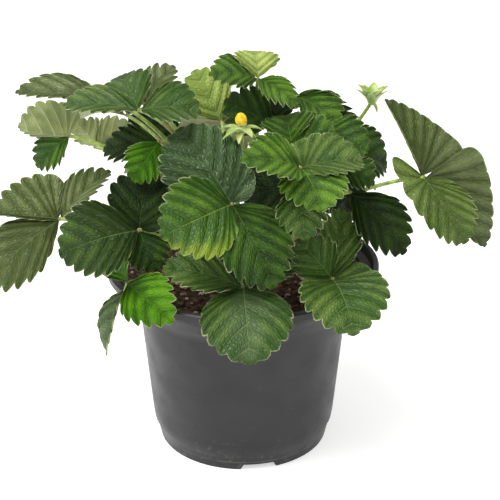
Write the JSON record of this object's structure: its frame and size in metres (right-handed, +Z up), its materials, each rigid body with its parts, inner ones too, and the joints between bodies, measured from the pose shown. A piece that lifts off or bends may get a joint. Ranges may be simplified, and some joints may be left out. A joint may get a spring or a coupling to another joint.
{
  "type": "potted strawberry plant",
  "caption": "Strawberry plant with toothed trifoliate leaves on long petioles, a flower without petals and a young calyx, growing in a round thin-walled nursery pot",
  "frame": {"origin": "on the pot's vertical axis, at the surface that the pot's foot stands on, which is the middle of the bottom of the bounding box", "axes": "+Z is up; +X is to the right as the picture sees it, the way that the longest leaves spread; +Y points away from the camera"},
  "size_m": [0.3169, 0.2165, 0.2475],
  "materials": {
    "pot_plastic": "dark grey moulded plastic with a soft sheen and fine scuffs",
    "soil": "dark damp potting soil with reddish crumbs",
    "crown": "brown scaly crown",
    "sepal": "pale yellow-green hairy sepals and stalk",
    "cone": "yellow receptacle set with tiny pistils",
    "leaf_green": "mid green hairy leaf",
    "leaf_vivid": "bright young green leaf",
    "leaf_pale": "yellow-green leaf lit from behind",
    "leaf_dark": "dark green leaf in the shade",
    "leaf_olive": "olive grey-green leaf",
    "leaf_sheen": "green leaf with a greyish sheen"
  },
  "bodies": {
    "root": {"pot": "pot_plastic", "soil": "soil", "crown": "crown", "flower_stalk": "sepal", "flower_cone": "cone", "calyx": "sepal", "leaf_rim_front": "leaf_sheen", "leaf_rim_left": "leaf_vivid", "leaf_rim_right": "leaf_sheen", "leaf_centre": "leaf_green", "leaf_centre_right": "leaf_green", "leaf_hanging": "leaf_sheen", "leaf_folded": "leaf_green", "leaf_top": "leaf_green", "leaf_top_dark": "leaf_dark", "leaf_top_pale": "leaf_pale", "leaf_upper_right": "leaf_dark", "leaf_right_inner": "leaf_green", "leaf_right_small": "leaf_vivid", "leaf_far_right": "leaf_olive", "leaf_right_dark": "leaf_dark", "leaf_upper_left": "leaf_sheen", "leaf_upper_left_back": "leaf_sheen", "leaf_left_vivid": "leaf_vivid", "leaf_far_upper_left": "leaf_pale", "leaf_left_fan": "leaf_olive", "leaf_top_left": "leaf_olive", "leaf_far_left": "leaf_olive", "leaf_left": "leaf_green", "leaf_back_left": "leaf_green", "leaf_back_low_left": "leaf_sheen", "leaf_back_middle": "leaf_green", "leaf_back_right": "leaf_sheen", "leaf_back_far_right": "leaf_green"}
  },
  "joints": []
}
